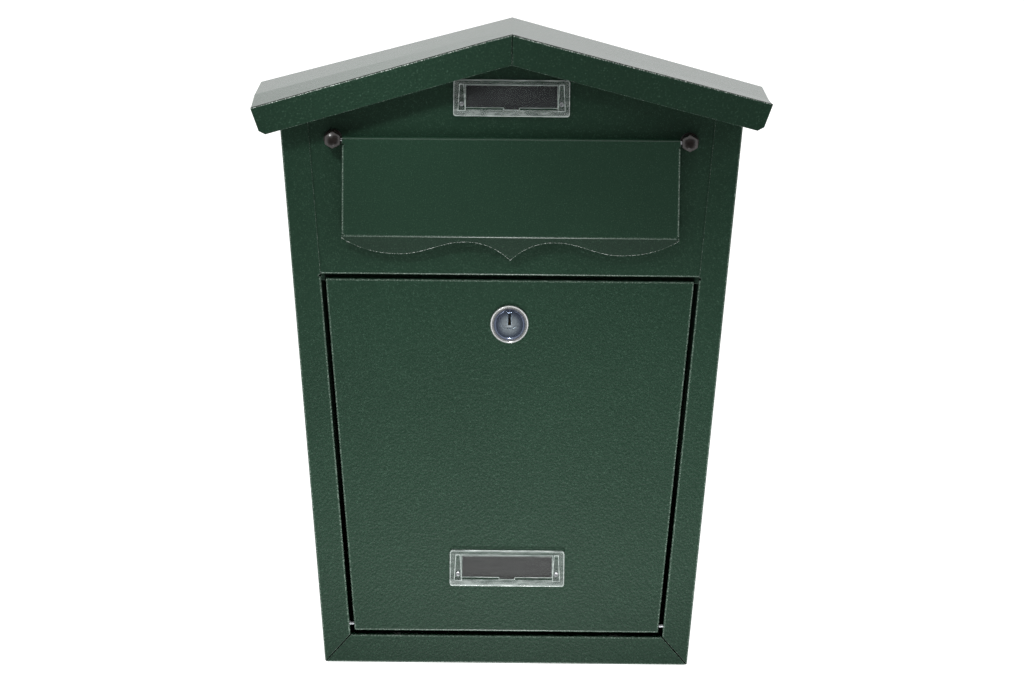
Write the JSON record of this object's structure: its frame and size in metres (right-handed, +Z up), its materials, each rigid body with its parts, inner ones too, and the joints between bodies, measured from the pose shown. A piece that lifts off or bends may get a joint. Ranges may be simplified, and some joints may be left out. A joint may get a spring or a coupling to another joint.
{
  "type": "wall mounted mailbox",
  "caption": "Wall mounted sheet steel mailbox with a gable roof, a wavy letter flap hinged on a rod, and a locking door that tips forward on pins.",
  "frame": {"origin": "middle of the four wall holes, on the back face that lies against the wall", "axes": "+X to the right along the wall as seen from the front, +Z up, front facing -Y, wall at y = 0"},
  "size_m": [0.36, 0.12, 0.448],
  "materials": {
    "green_paint": "dark green powder coat with a fine leather texture, satin to gloss",
    "post_finish": "dark brown, smooth",
    "zinc": "bright zinc plated steel",
    "lock_chrome": "polished chrome on die cast zinc",
    "lock_brass": "turned brass",
    "clear_cover": "clear moulded plastic",
    "card": "plain dark grey card"
  },
  "bodies": {
    "casing": {"body_wrap": "green_paint", "back_panel": "green_paint", "upper_front_panel": "green_paint", "roof": "green_paint", "hinge_post_left": "post_finish", "hinge_post_right": "post_finish", "hinge_post_nuts": "zinc", "door_hinge_pin_left": "zinc", "door_hinge_pin_right": "zinc", "upper_name_cover": "clear_cover", "upper_name_card": "card", "upper_name_rivets": "zinc"},
    "flap": {"letter_flap": "green_paint", "flap_rod": "zinc"},
    "door": {"door_panel": "green_paint", "lower_name_cover": "clear_cover", "lower_name_card": "card", "lower_name_rivets": "zinc", "lock_housing": "lock_chrome", "lock_nut": "zinc", "lock_driver_pins": "lock_brass", "lock_springs": "zinc"},
    "lock_core": {"lock_plug": "lock_chrome", "lock_key_pins": "lock_brass", "lock_cam": "zinc", "cam_washer": "zinc", "cam_nut": "zinc"}
  },
  "joints": [
    {"name": "flap_hinge", "type": "hinge", "parent": "casing", "child": "flap", "pos_m": [0, -0.11095, 0.2132], "axis": [-1, 0, 0], "range_deg": [0, 90]},
    {"name": "door_hinge", "type": "hinge", "parent": "casing", "child": "door", "pos_m": [0, -0.1, -0.1329], "axis": [1, 0, 0], "range_deg": [0, 105]},
    {"name": "lock_turn", "type": "hinge", "parent": "door", "child": "lock_core", "pos_m": [0, -0.1, 0.0874], "axis": [0, 1, 0], "range_deg": [0, 90]}
  ]
}
